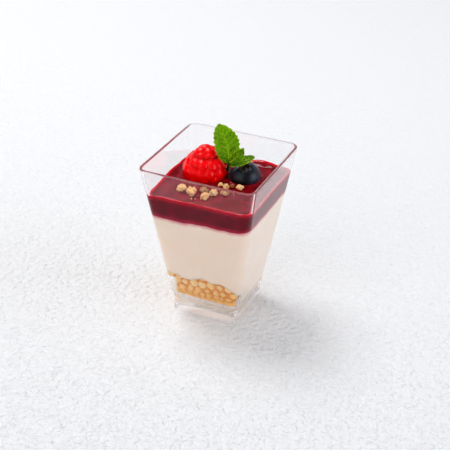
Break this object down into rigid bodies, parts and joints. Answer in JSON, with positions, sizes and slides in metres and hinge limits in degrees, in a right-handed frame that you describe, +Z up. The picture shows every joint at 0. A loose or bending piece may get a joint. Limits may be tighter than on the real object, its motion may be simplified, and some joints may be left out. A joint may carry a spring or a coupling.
{
  "type": "layered dessert in a clear square cup",
  "caption": "Small tapered square cup of clear plastic with a crunchy grain base, set cream and red berry sauce, topped with a raspberry, a blueberry, crumbs and a mint sprig.",
  "frame": {"origin": "middle of the face that the cup's foot stands on", "axes": "+Z up out of the cup; X and Y along the sides of its square rim"},
  "size_m": [0.05, 0.05, 0.0804],
  "materials": {
    "clear_plastic": "clear, polished",
    "toasted_grain": "dry, toasted",
    "set_cream": "smooth, soft",
    "red_sauce": "wet, glossy",
    "raspberry_red": "juicy, satin",
    "blueberry_skin": "waxy bloom",
    "mint_green": "veined leaf"
  },
  "bodies": {
    "root": {"cup": "clear_plastic", "crunch_base": "toasted_grain", "cream": "set_cream", "berry_sauce": "red_sauce", "raspberry": "raspberry_red", "blueberry": "blueberry_skin", "mint_sprig": "mint_green"}
  },
  "joints": []
}
